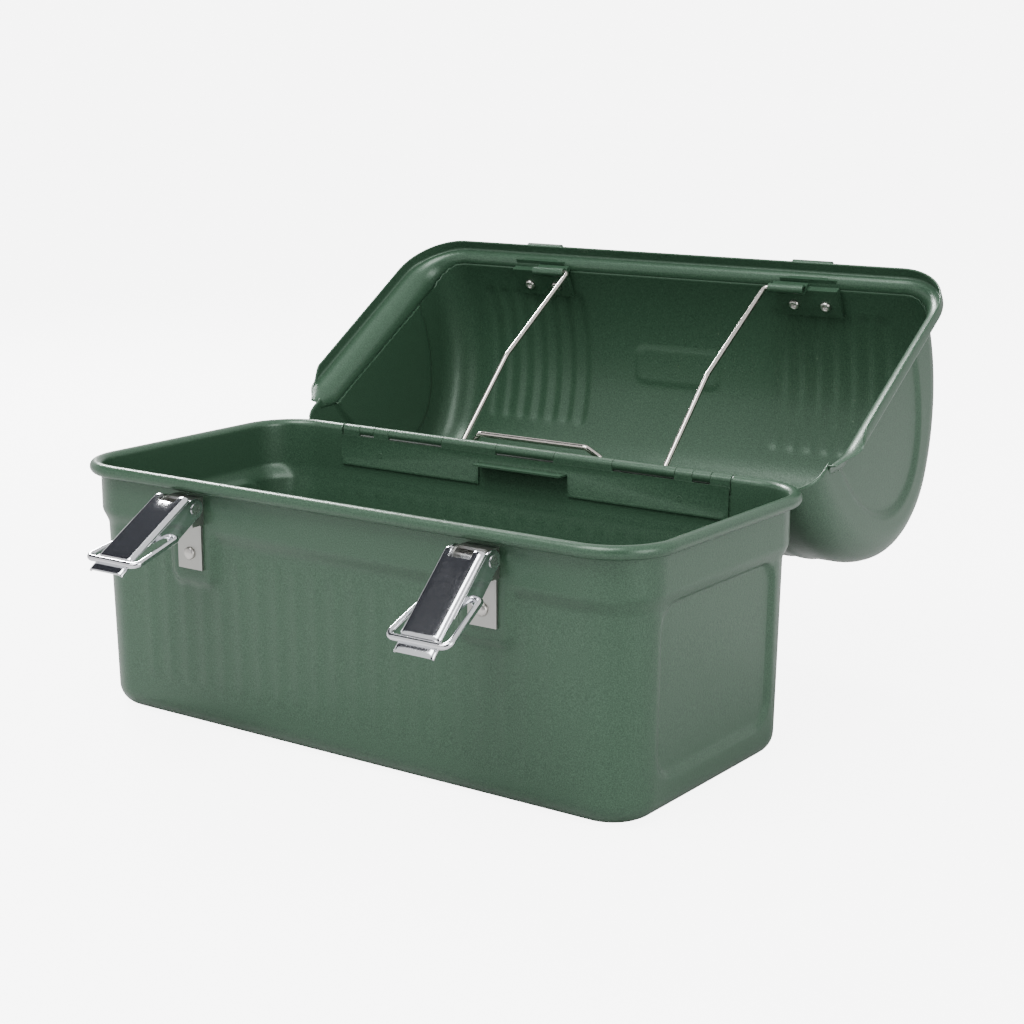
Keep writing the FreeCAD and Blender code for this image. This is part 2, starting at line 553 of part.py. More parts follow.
def latch(side, sign):
    """One draw latch: bracket, rivets, pin, lever and wire loop."""
    across = f"{sign} * latch_across"
    wall = f"-({COLLAR_Y})"
    pivot_y, pivot_z = f"{wall} - lever_pivot_out", "lever_pivot_high"
    plate_face = f"{wall} - bracket_sheet"

    plate = box(f"bracket_plate_{side}", (f"{across} - bracket_half", f"{across} + bracket_half"),
                (plate_face, wall),
                ("bracket_low", "bracket_high"))
    ears = []
    for n, edge in enumerate(("-ear_half", "ear_half - bracket_sheet")):
        span = (f"{across} + {edge}", f"{across} + {edge} + bracket_sheet")
        ears.append(box(f"ear_{side}_{n}", span, (pivot_y, wall), (f"{pivot_z} - 9", f"{pivot_z} + 4.3")))
        ears.append(rod(f"ear_nose_{side}_{n}", "4.3", span, (pivot_y, pivot_z)))
    bridge = box(f"bridge_{side}", (f"{across} - ear_half", f"{across} + ear_half"), (pivot_y, wall),
                 (f"{pivot_z} + 3.1", f"{pivot_z} + 4.3"))
    spots = [(across, "rivet_low"), (across, "rivet_high")]
    drill = [rod(f"bracket_drill_{side}_{n}", "rivet_shank", (f"{wall} - 6", f"{wall} + 2"), spot, "y")
             for n, spot in enumerate(spots)]
    drill.append(rod(f"bracket_bore_{side}", "latch_pin_radius", (f"{across} - 20", f"{across} + 20"),
                     (pivot_y, pivot_z)))
    part(f"latch_bracket_{side}", cut(f"bracket_cut_{side}",
                                      join(f"bracket_joined_{side}", [plate, *ears, bridge]), drill))
    rivets = [rivet(f"bracket_rivet_{side}_{n}", (plate_face, f"{wall} + tub_sheet"),
                    (f"{plate_face} - rivet_rise", plate_face),
                    (f"{wall} + tub_sheet", f"{wall} + tub_sheet + 1"), spot) for n,
                    spot in enumerate(spots)]
    part(f"latch_bracket_rivets_{side}", group(f"bracket_rivets_{side}_set", rivets))

    reach = "(lever_half + 0.2)"
    pin = [rod(f"pin_shank_{side}", "latch_pin_radius", (f"{across} - {reach}", f"{across} + {reach}"),
               (pivot_y, pivot_z))]
    for n, (low, high) in enumerate(((f"-{reach} - 1.2", f"-{reach}"), (reach, f"{reach} + 1.2"))):
        pin.append(rod(f"pin_head_{side}_{n}", "2.7", (f"{across} + {low}", f"{across} + {high}"),
                       (pivot_y, pivot_z)))
    part(f"latch_pin_{side}", join(f"pin_joined_{side}", pin))

    # the lever, drawn shut: its pivot is the origin and it hangs down its own -Z
    body = doc.addObject("PartDesign::Body", f"lever_blank_{side}")
    corners = [("-lever_front", "-1.2"), ("-lever_front", "-lever_reach"),
               ("-lever_front + 1.1", "-lever_reach - 1.2"),
               ("-lever_front + 2.4", "-lip_reach"), ("-lever_front + 3.4", "-lip_reach + 0.2"),
               ("-lever_front + 2.1", "-lever_reach - 0.8"), ("-lever_front + 1", "-lever_reach + 0.3"),
               ("-lever_front + 1", "-lever_flange_reach"),
               ("-lever_front + 3", "-lever_flange_reach + 1.5"),
               ("-2.0", "-loop_drop - 6.4"), ("loop_back", "-loop_drop - 3.4"),
               ("loop_back + 2.6", "-loop_drop - 1.6"),
               ("4.8", "-12"), ("4.6", "1.5"), ("2.2", "4.6"), ("-1.4", "4.8"), ("-5.2", "2.6")]
    pad(body, f"lever_pad_{side}", outline(sketch_on(body, f"lever_side_{side}", "YZ_Plane"), corners),
        "2 * lever_half", middle=True)
    doc.recompute()
    tools = [
        box(f"lever_channel_{side}", ("-lever_half + lever_sheet", "lever_half - lever_sheet"),
            ("-lever_front + lever_sheet", "20"), ("-lever_reach + 0.3", "12")),
        box(f"lever_notch_{side}", ("-5.5", "5.5"), ("-10", "-lever_front + 2"), ("-5.2", "12")),
        rod(f"lever_bore_{side}", "lever_bore", ("-20", "20"), ("0", "0")),
        rod(f"loop_bore_{side}", "loop_bore", ("-20", "20"), ("loop_back", "-loop_drop")),
    ]
    lever = cut(f"lever_cut_{side}", body, tools)
    lever.Placement = Placement(Vector(), Rotation(Vector(1, 0, 0), -D[f"lever_open_{side}"]))
    bind(lever, Placement_Base_x=across, Placement_Base_y=pivot_y, Placement_Base_z=pivot_z)
    lever.setExpression("Placement.Rotation.Angle", formula(f"-lever_open_{side}"))
    part(f"latch_lever_{side}", lever)

    neck, half, long = D["loop_neck"], D["loop_half"], D["loop_length"]
    right = [Vector(D["lever_half"] - 2, 0, 0), Vector(neck, 0, 0), Vector(half, 0, -long)]
    left = [Vector(-p.x, p.y, p.z) for p in reversed(right)]
    loop = wire(f"loop_form_{side}", right + left, [2.0, 3.4, 3.4, 2.0], D["loop_wire"])
    opened = math.radians(D[f"lever_open_{side}"])
    back, drop = D["loop_back"], D["loop_drop"]
    # the loop's pivot on the opened lever, then the loop's own lean beyond it
    y = number(pivot_y) + back * math.cos(opened) - drop * math.sin(opened)
    z = number(pivot_z) - back * math.sin(opened) - drop * math.cos(opened)
    lean = -(D[f"lever_open_{side}"] + D["loop_rest"])
    loop.Placement = Placement(Vector(number(across), y, z), Rotation(Vector(1, 0, 0), lean))
    part(f"latch_loop_{side}", loop)
    print(f"latch_loop_{side} pivot {number(across):.3f} {y:.4f} {z:.4f}")


def handle():
    """The carrying handle on the crown: two riveted brackets, a wire and a moulded grip."""
    crown_y = "-(dome_back + dome_half_depth)"
    pivot_z = "dome_top + handle_pivot_rise"
    for side, sign in SIDES:
        across = f"{sign} * (handle_half + 4)"
        span = (f"{across} - 5", f"{across} + 5")
        plate = box(f"crown_plate_{side}", (f"{across} - 7", f"{across} + 7"),
                    (f"{crown_y} - 16", f"{crown_y} + 16"),
                    ("dome_top - 6", "dome_top + handle_plate"))
        seat = cut(f"crown_seat_{side}", plate, [doc.getObject("dome_outer")])
        stem = box(f"eye_stem_{side}", span, (f"{crown_y} - 3", f"{crown_y} + 3"),
                   ("dome_top + 0.5", pivot_z))
        eye = rod(f"eye_{side}", "handle_eye", span, (crown_y, pivot_z))
        bores = [rod(f"eye_bore_{side}", "handle_bore", ("-120", "120"), (crown_y, pivot_z))]
        spots = [(across, f"{crown_y} {offset} handle_rivet_apart") for offset in "-+"]
        bores += [rod(f"seat_drill_{side}_{n}", "rivet_shank", ("dome_top - 12", "dome_top + 5"), spot, "z")
                  for n, spot in enumerate(spots)]
        part(f"handle_bracket_{side}",
             on_lid(cut(f"eye_cut_{side}", join(f"eye_joined_{side}", [seat, stem, eye]), bores)))
        rivets = [rivet(f"crown_rivet_{side}_{n}", ("dome_top - 3.4", "dome_top + handle_plate"),
                        ("dome_top + handle_plate", "dome_top + handle_plate + 1.4"),
                        ("dome_top - 4.6", "dome_top - 3.2"), spot, "z") for n, spot in enumerate(spots)]
        part(f"handle_rivets_{side}", on_lid(group(f"crown_rivets_{side}_set", rivets)))

    half, high = D["handle_half"] - 4.4, D["handle_height"]
    right = [Vector(half + 14, 0, 0), Vector(half, 0, 0), Vector(half, 0, high)]
    left = [Vector(-p.x, p.y, p.z) for p in reversed(right)]
    form = wire("handle_form", right + left, [3.2, 8, 8, 3.2], D["handle_wire"])
    grip = cut("grip_cut", rod("grip_blank", "grip_radius", ("-grip_half", "grip_half"),
                               ("0", "handle_height")),
               [rod("grip_bore", "handle_wire", ("-grip_half - 1", "grip_half + 1"),
                    ("0", "handle_height"))])
    # the lid is open past upright, and the free handle hangs straight down
    lid = Rotation(Vector(1, 0, 0), -D["lid_open"])
    pivot = Vector(0, number("hinge_back"),
                   number("hinge_high")) + lid.multVec(Vector(0, number(crown_y), number(pivot_z)))
    for name, item in (("handle_wire", form), ("handle_grip", grip)):
        item.Placement = Placement(pivot, Rotation(Vector(1, 0, 0), 180))
        part(name, item)
    print(f"handle pivot {pivot.y:.4f} {pivot.z:.4f}")


def export():
    """Check every object and sub-part, then write each sub-part's STEP file."""
    doc.recompute()
    failed = [item.Name for item in doc.Objects if {"Invalid", "Error"} & set(item.State)]
    failed += [item.Label for item in PARTS if item.Shape.isNull() or not item.Shape.isValid() or not item.Shape.Solids]
    if failed:
        raise ValueError(f"failed objects: {failed}")
    os.makedirs("parts", exist_ok=True)
    for item in PARTS:
        item.Shape.exportStep(f"parts/{item.Label}.step")
        print(f"{item.Label}: {len(item.Shape.Solids)} solids, {item.Shape.Volume / 1000:.2f} cm3")


base_shell()
hinge()
lid_shell()
lid_front_hardware()
bottle_bail()
for latch_side, latch_sign in SIDES:
    latch(latch_side, latch_sign)
handle()
export()
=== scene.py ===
"""Looks for the metal lunch box: hammertone green sheet metal, bright latches and wire, in a pale studio.

Lengths are in millimetres until a mesh is made, then metres. Lid shapes are drawn with the lid shut, from the
hinge line, as (x, s, h): s runs forward from the hinge and h rises. lid_point() tips them to where the
lid stands.
"""
import json
import math

import bpy
import numpy as np
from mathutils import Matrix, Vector


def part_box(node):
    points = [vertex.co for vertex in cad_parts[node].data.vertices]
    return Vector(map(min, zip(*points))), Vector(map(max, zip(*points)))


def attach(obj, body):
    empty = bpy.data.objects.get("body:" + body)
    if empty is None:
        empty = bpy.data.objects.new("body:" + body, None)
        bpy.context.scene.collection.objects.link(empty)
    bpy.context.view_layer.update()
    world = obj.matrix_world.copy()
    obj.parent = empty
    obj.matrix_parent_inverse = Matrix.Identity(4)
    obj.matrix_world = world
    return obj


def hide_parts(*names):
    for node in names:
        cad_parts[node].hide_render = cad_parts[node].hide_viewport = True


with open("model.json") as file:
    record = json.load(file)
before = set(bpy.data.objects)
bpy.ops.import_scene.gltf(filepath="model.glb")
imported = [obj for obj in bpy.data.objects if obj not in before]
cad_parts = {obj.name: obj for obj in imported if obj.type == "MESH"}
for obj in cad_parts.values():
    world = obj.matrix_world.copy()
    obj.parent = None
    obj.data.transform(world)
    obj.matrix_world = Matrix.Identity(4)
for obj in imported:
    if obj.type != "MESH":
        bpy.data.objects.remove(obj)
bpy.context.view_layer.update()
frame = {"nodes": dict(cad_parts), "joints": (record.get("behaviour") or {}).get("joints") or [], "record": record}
MM = 0.001


def node_box(node):
    """A CAD node's box as two arrays, in millimetres."""
    low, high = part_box(node)
    return np.array(low) / MM, np.array(high) / MM


# tub sizes
RIM_X, RIM_Y, RIM_TOP = node_box("base_shell")[1]
RIM_RADIUS, SHEET, RIM_CORNER = 3.1, 1.0, 27.0
COLLAR_X, COLLAR_Y = RIM_X - 2 * RIM_RADIUS + SHEET, RIM_Y - 2 * RIM_RADIUS + SHEET
COLLAR_CORNER = RIM_CORNER - RIM_RADIUS + SHEET
SHOULDER, DRAFT, SHOULDER_LOW, SHOULDER_TOP = 2.8, 1.6, 92.0, 97.5
FOOT_CORNER, FOOT_FILLET = 21.5, 10.0
CURL_Z = RIM_TOP - RIM_RADIUS
RIB_SIDE_COUNT, RIB_PITCH, RIB_WIDTH, RIB_DEPTH, RIB_LOW, RIB_HIGH = 10, 11.5, 5.0, 0.27, 24, SHOULDER_LOW - 9
BACK_STEP_LOW, BACK_STEP_HIGH = 72, 99
PAD_HALF, PAD_LOW, PAD_TALL, PAD_CORNER = 14.4, 70.5, 60, 7.0
PANEL_HALF, PANEL_LOW, PANEL_HIGH, PANEL_CORNER, PANEL_DEPTH = 47.5, 17.0, 93.0, 11.0, 1.7

# hinge and lid sizes
LID_HINGE = next(j for j in frame["joints"] if j["name"] == "lid_hinge")
HINGE_Y, HINGE_Z = (v / MM for v in LID_HINGE["pos_m"][1:])
LID_OPEN = math.radians(LID_HINGE["range_deg"][1])
LATCH_X = 83.5
HINGE_HALF = 116.0
NOTCH_GAP, NOTCH_DROP, NOTCH_FRONT, NOTCH_BACK, NOTCH_TOP = 0.6, 6.4, 62, 95, 140
LEAF_LOW, LEAF_HIGH, LEAF_CORNER, TAB_HALF, TAB_TOP, WELD_X, WELD_DROP = 17.2, 2.4, 5.0, 27.0, 6.6, 90, 11
LID_SHEET, LID_EDGE = 0.6, 3.9
DOME_BACK, DOME_HALF, DOME_SPRING, DOME_TOP = 1.3, 75.6, 6.0, 102.3
FLANK_RADIUS, DOME_X, DOME_END = 106.0, 153.7, 17.0
DOME_CENTRE = DOME_BACK + DOME_HALF
FLANGE_X, FLANGE_S, FLANGE_CORNER, FLANGE_DROP, FLANGE_START = 165.8, 158.5, 30.0, 2.2, 21.0
FLARE_SLOPE, FLARE_BASE, FLARE_PROUD, FLANGE_ROUND, FLANGE_LIP = 0.85, LID_EDGE + LID_SHEET, 0.04, 1.8, 0.6
LID_RIBS, LID_RIB_FIRST, LID_RIB_PITCH, LID_RIB_SHIFT = 7, 62.5, 10.0, 1.5
LID_RIB_WIDTH, LID_RIB_DEPTH, LID_RIB_LOW, LID_RIB_HIGH = 5.0, 0.75, 28, 87
BADGE_X, BADGE_HALF, BADGE_LOW, BADGE_HIGH, BADGE_CORNER, BADGE_DEPTH = -3.0, 27.0, 51.6, 69.5, 6.0, 0.5
OVAL_S, OVAL_H, OVAL_HALF, OVAL_RISE, OVAL_DEPTH = 75.5, 5, 44.5, 71.0, 1.5
RIVET_GAP, LID_RIVET_H, LID_PLATES, KEEPER_SHEET = 9, 18.5, 3.4, 0.8
LATCH_PLATE, LATCH_RIVET_Z = 1.2, (86.2, 105.5)


def smooth(edge0, edge1, value):
    """A smooth step from 0 at edge0 to 1 at edge1."""
    t = np.clip((value - edge0) / (edge1 - edge0), 0, 1)
    return t * t * (3 - 2 * t)


def capsule(u, v, u0, v0, v1):
    """Distance from (u, v) to the upright line at u0 between v0 and v1."""
    return np.hypot(u - u0, v - np.clip(v, v0, v1))


def rounded_box(u, v, half_u, half_v, corner):
    """Signed distance to a rounded rectangle about the origin, negative inside."""
    du, dv = np.abs(u) - half_u + corner, np.abs(v) - half_v + corner
    return np.hypot(np.maximum(du, 0), np.maximum(dv, 0)) + np.minimum(np.maximum(du, dv), 0) - corner


def lid_point(points):
    """Lid coordinates (x, s, h) to world millimetres, with the lid standing open."""
    x, s, h = np.moveaxis(np.asarray(points, float), -1, 0)
    c, d = math.cos(LID_OPEN), math.sin(LID_OPEN)
    return np.stack([x, HINGE_Y - c * s + d * h, HINGE_Z + d * s + c * h], axis=-1)


def make_mesh(name, points, faces, body, slot, material, *replaced):
    """A smooth piece from millimetre points, riding on a body and standing for some CAD nodes."""
    mesh = bpy.data.meshes.new(name)
    mesh.from_pydata((np.asarray(points) * MM).tolist(), [], faces)
    mesh.validate()
    mesh.update()
    piece = bpy.data.objects.new(name, mesh)
    bpy.context.scene.collection.objects.link(piece)
    mesh.shade_smooth()
    mesh.materials.append(material)
    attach(piece, body)
    if replaced:
        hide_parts(*replaced)
    return piece


def grid_faces(rows, columns, closed_rows=False, closed_columns=False):
    """Quads over a grid of points stored row by row."""
    faces = []
    for i in range(rows if closed_rows else rows - 1):
        for j in range(columns if closed_columns else columns - 1):
            a, b = i * columns + j, i * columns + (j + 1) % columns
            c, d = (i + 1) % rows * columns + (j + 1) % columns, (i + 1) % rows * columns + j
            faces.append((a, b, c, d))
    return faces


def grid_normals(grid, closed_columns=False):
    """Unit normals of a grid of points, from its neighbours along both directions."""
    along = np.gradient(grid, axis=0)
    if closed_columns:
        across = (np.roll(grid, -1, axis=1) - np.roll(grid, 1, axis=1)) / 2
    else:
        across = np.gradient(grid, axis=1)
    normal = np.cross(across, along)
    length = np.linalg.norm(normal, axis=-1, keepdims=True)
    return normal / np.maximum(length, 1e-9)


# ---------------------------------------------------------------- materials

def new_material(name):
    """A material with its nodes, links and main shader."""
    material = bpy.data.materials.new(name)
    material.use_nodes = True
    tree = material.node_tree
    return material, tree.nodes, tree.links, tree.nodes["Principled BSDF"]


def add_bump(nodes, links, shader, texture, strength, distance):
    """Let a texture raise the surface a little; distance is in metres."""
    bump = nodes.new("ShaderNodeBump")
    bump.inputs["Strength"].default_value = strength
    bump.inputs["Distance"].default_value = distance
    links.new(texture.outputs["Fac"], bump.inputs["Height"])
    links.new(bump.outputs["Normal"], shader.inputs["Normal"])


def add_noise(nodes, links, place, scale, detail=2):
    """Noise in the object's own coordinates."""
    noise = nodes.new("ShaderNodeTexNoise")
    noise.inputs["Scale"].default_value = scale
    noise.inputs["Detail"].default_value = detail
    links.new(place.outputs["Object"], noise.inputs["Vector"])
    return noise


def enamel(name, colour, dark, roughness=0.34):
    """Hammertone enamel: fine metallic speckle in the paint and a faint orange-peel surface."""
    material, nodes, links, shader = new_material(name)
    place = nodes.new("ShaderNodeTexCoord")
    speckle = add_noise(nodes, links, place, 1900, 3)
    speckle.inputs["Roughness"].default_value = 0.75
    ramp = nodes.new("ShaderNodeValToRGB")
    ramp.color_ramp.elements[0].position = 0.36
    ramp.color_ramp.elements[0].color = (*dark, 1)
    ramp.color_ramp.elements[1].position = 0.66
    ramp.color_ramp.elements[1].color = (*colour, 1)
    add_bump(nodes, links, shader, add_noise(nodes, links, place, 800), 0.12, 0.0006)
    links.new(speckle.outputs["Fac"], ramp.inputs["Fac"])
    links.new(ramp.outputs["Color"], shader.inputs["Base Color"])
    shader.inputs["Metallic"].default_value = 0.25
    shader.inputs["Roughness"].default_value = roughness
    shader.inputs["Coat Weight"].default_value = 0.12
    shader.inputs["Coat Roughness"].default_value = 0.18
    return material


def metal(name, colour, roughness, mottle=0.0, scale=300):
    """Bare or plated metal whose roughness wanders slightly."""
    material, nodes, links, shader = new_material(name)
    place = nodes.new("ShaderNodeTexCoord")
    noise = add_noise(nodes, links, place, scale, 4)
    spread = nodes.new("ShaderNodeMapRange")
    spread.inputs["To Min"].default_value = max(0.02, roughness - 0.05)
    spread.inputs["To Max"].default_value = roughness + 0.08
    links.new(noise.outputs["Fac"], spread.inputs["Value"])
    links.new(spread.outputs["Result"], shader.inputs["Roughness"])
    if mottle:
        add_bump(nodes, links, shader, noise, mottle, 0.0004)
    shader.inputs["Base Color"].default_value = (*colour, 1)
    shader.inputs["Metallic"].default_value = 1
    return material


def plastic(name, colour, roughness):
    """Moulded plastic with a fine grain."""
    material, nodes, links, shader = new_material(name)
    place = nodes.new("ShaderNodeTexCoord")
    add_bump(nodes, links, shader, add_noise(nodes, links, place, 1500), 0.15, 0.0002)
    shader.inputs["Base Color"].default_value = (*colour, 1)
    shader.inputs["Roughness"].default_value = roughness
    return material


GREEN = enamel("green_paint", (0.054, 0.115, 0.069), (0.022, 0.056, 0.032))
LOOKS = {
    "green_paint": GREEN,
    "hinge_steel": GREEN,
    "zinc_steel": metal("zinc_steel", (0.42, 0.42, 0.40), 0.34),
    "rivet_steel": metal("rivet_steel", (0.62, 0.60, 0.57), 0.3),
    "pin_steel": metal("pin_steel", (0.6, 0.6, 0.6), 0.25),
    "latch_chrome": metal("latch_chrome", (0.80, 0.81, 0.84), 0.1, 0.05, 1100),
    "bail_wire": metal("bail_wire", (0.64, 0.60, 0.56), 0.14),
    "handle_wire": metal("handle_wire", (0.66, 0.66, 0.66), 0.25),
    "grip": plastic("grip", (0.025, 0.025, 0.027), 0.5),
}


# ---------------------------------------------------------------- tub

def ring(half_x, half_y, corner, long=200, short=72, turn=16):
    """Points round a rounded rectangle, counter-clockwise from the left of the front side."""
    w, d = half_x - corner, half_y - corner
    sides = [((-w, -half_y), (w, -half_y), long), ((half_x, -d), (half_x, d), short),
             ((w, half_y), (-w, half_y), long), ((-half_x, d), (-half_x, -d), short)]
    centres = [(w, -d), (w, d), (-w, d), (-w, -d)]
    points = []
    for n, ((start, end, count), centre) in enumerate(zip(sides, centres)):
        t = np.linspace(0, 1, count, endpoint=False)[:, None]
        points.append(np.array(start) + (np.array(end) - np.array(start)) * t)
        angle = math.radians(-90 + 90 * n) + np.linspace(0, math.pi / 2, turn, endpoint=False)
        points.append(np.array(centre) + corner * np.stack([np.cos(angle), np.sin(angle)], axis=-1))
    return np.concatenate(points)


def shoulder_rise(z):
    """0 under the shoulder, 1 at the collar."""
    return smooth(SHOULDER_LOW - 1.5, SHOULDER_TOP + 1.5, z)


def tub_inset(z):
    """How far the wall stands in from the collar at a height, and its corner radius."""
    curve = FOOT_FILLET - np.sqrt(np.maximum(0, FOOT_FILLET**2 - np.maximum(0, FOOT_FILLET - z) ** 2))
    draft = DRAFT * (1 - np.clip(z / SHOULDER_LOW, 0, 1))
    step = SHOULDER * (1 - shoulder_rise(z))
    corner = FOOT_CORNER + (COLLAR_CORNER - SHOULDER - FOOT_CORNER) * min(1, z / SHOULDER_LOW)
    corner += SHOULDER - step - curve
    return curve + draft + step, corner


def tub_press(x, y, z):
    """How far the tub's pressed shapes stand out from its plain wall."""
    out = np.zeros_like(x)
    long_wall = np.abs(y) > COLLAR_Y - SHOULDER - DRAFT - 1.2
    for n in range(-RIB_SIDE_COUNT, RIB_SIDE_COUNT + 1):
        rib = 1 - smooth(0, RIB_WIDTH, capsule(x, z, n * RIB_PITCH, RIB_LOW, RIB_HIGH))
        out += np.where(long_wall, RIB_DEPTH * rib, 0)
    back = smooth(COLLAR_Y - SHOULDER - DRAFT - 8, COLLAR_Y - SHOULDER - DRAFT - 1, y)
    out += back * SHOULDER * (smooth(BACK_STEP_LOW, BACK_STEP_HIGH, z) - shoulder_rise(z))
    end_wall = np.abs(x) > COLLAR_X - SHOULDER - DRAFT - 1.2
    middle, half = (PANEL_HIGH + PANEL_LOW) / 2, (PANEL_HIGH - PANEL_LOW) / 2
    panel = 1 - smooth(-1.8, 0.4, rounded_box(y, z - middle, PANEL_HALF, half, PANEL_CORNER))
    out -= np.where(end_wall, PANEL_DEPTH * panel, 0)
    return out


def tub_pad(x, y, z):
    """How far the flat latch pads carry the collar's plane down the front wall: 1 on a pad, 0 off it."""
    across = np.abs(np.abs(x) - LATCH_X)
    edge = rounded_box(across, z - (PAD_LOW + PAD_TALL), PAD_HALF, PAD_TALL, PAD_CORNER)
    return np.where(y < -COLLAR_Y / 2, 1 - smooth(-3.0, 1.6, edge), 0)


def build_tub():
    """The whole pressing as one closed skin: out under the foot, up, over the curl and back down inside."""
    heights = [FOOT_FILLET * (1 - math.cos(a)) for a in np.linspace(0, math.pi / 2, 9)]
    heights += list(np.arange(FOOT_FILLET + 2, SHOULDER_LOW - 2, 2.0))
    heights += list(np.arange(SHOULDER_LOW - 2, SHOULDER_TOP + 3, 0.75))
    heights += list(np.linspace(SHOULDER_TOP + 5, CURL_Z, 7))
    wall = []
    for z in heights:
        inset, corner = tub_inset(z)
        flat = ring(COLLAR_X - inset, COLLAR_Y - inset, corner)
        wall.append(np.column_stack([flat, np.full(len(flat), z)]))
    wall = np.array(wall)
    outward = grid_normals(wall, closed_columns=True)
    x, y, z = np.moveaxis(wall, -1, 0)
    lift = tub_press(x, y, z)
    pad = tub_pad(x, y, z)
    outer = wall + outward * lift[..., None]
    outer[..., 1] = outer[..., 1] * (1 - pad) - COLLAR_Y * pad
    inner = outer - outward * SHEET
    inner[0] = wall[0] + np.array([0, 0, SHEET])

    curl = []
    inside, outside = np.linspace(180, -130, 26), np.linspace(-130, 180, 30)
    for radius, angles in ((RIM_RADIUS - SHEET, inside), (RIM_RADIUS, outside)):
        for angle in np.radians(angles):
            out = RIM_RADIUS - SHEET + radius * math.cos(angle)
            flat = ring(COLLAR_X + out, COLLAR_Y + out, COLLAR_CORNER + out)
            curl.append(np.column_stack([flat, np.full(len(flat), CURL_Z + radius * math.sin(angle))]))
    rings = [*outer[:-1], *curl, *inner[::-1][1:]]
    count = len(rings[0])
    points = np.concatenate(rings)
    faces = grid_faces(len(rings), count, closed_columns=True)
    faces.append(tuple(reversed(range(count))))
    faces.append(tuple(range((len(rings) - 1) * count, len(rings) * count)))
    tub = make_mesh("tub_shell", points, faces, "base", "green_paint", GREEN, "base_shell")

    # the notch that the hinge sits in
    half = HINGE_HALF + NOTCH_GAP
    low = np.array([-half, NOTCH_FRONT, HINGE_Z - NOTCH_DROP]) * MM
    high = np.array([half, NOTCH_BACK, NOTCH_TOP]) * MM
    corners = [Vector([low[axis] if i >> axis & 1 else high[axis] for axis in range(3)]) for i in range(8)]
    sides = [(0, 1, 3, 2), (4, 6, 7, 5), (0, 4, 5, 1), (2, 3, 7, 6), (0, 2, 6, 4), (1, 5, 7, 3)]
    block = bpy.data.meshes.new("notch")
    block.from_pydata(corners, [], sides)
    tool = bpy.data.objects.new("notch", block)
    bpy.context.scene.collection.objects.link(tool)
    modifier = tub.modifiers.new("notch", "BOOLEAN")
    modifier.operation, modifier.solver, modifier.object = "DIFFERENCE", "EXACT", tool
    bpy.context.view_layer.update()
    done = bpy.data.meshes.new_from_object(tub.evaluated_get(bpy.context.evaluated_depsgraph_get()))
    tub.modifiers.clear()
    tub.data = done
    bpy.data.objects.remove(tool)
    return tub


# ---------------------------------------------------------------- lid

def arch_points(inset):
    """The lid's D section, offset inwards, from the back edge over the crown to the front edge, as (s, h)."""
    low, rise = DOME_HALF - FLANK_RADIUS, DOME_SPRING - DOME_TOP
    crown = (FLANK_RADIUS**2 - low**2 - rise**2) / (2 * (FLANK_RADIUS + rise))
    turn = math.atan2(DOME_TOP - crown - DOME_SPRING, -low)
    flank = np.linspace(0, turn, 62)
    r = FLANK_RADIUS - inset
    side = np.stack([low + r * np.cos(flank), DOME_SPRING + r * np.sin(flank)], axis=-1)
    top = np.linspace(turn, math.pi - turn, 46)[1:-1]
    r = crown - inset
    middle = np.stack([r * np.cos(top), DOME_TOP - crown + r * np.sin(top)], axis=-1)
    foot = np.array([[DOME_HALF - inset, LID_EDGE]])
    half = np.concatenate([foot, side])
    mirror = half[::-1] * np.array([-1, 1])
    # cosine grows to the front first, so the list is turned to start at the back
    whole = np.concatenate([half, middle, mirror])[::-1]
    return whole + np.array([DOME_CENTRE, 0])


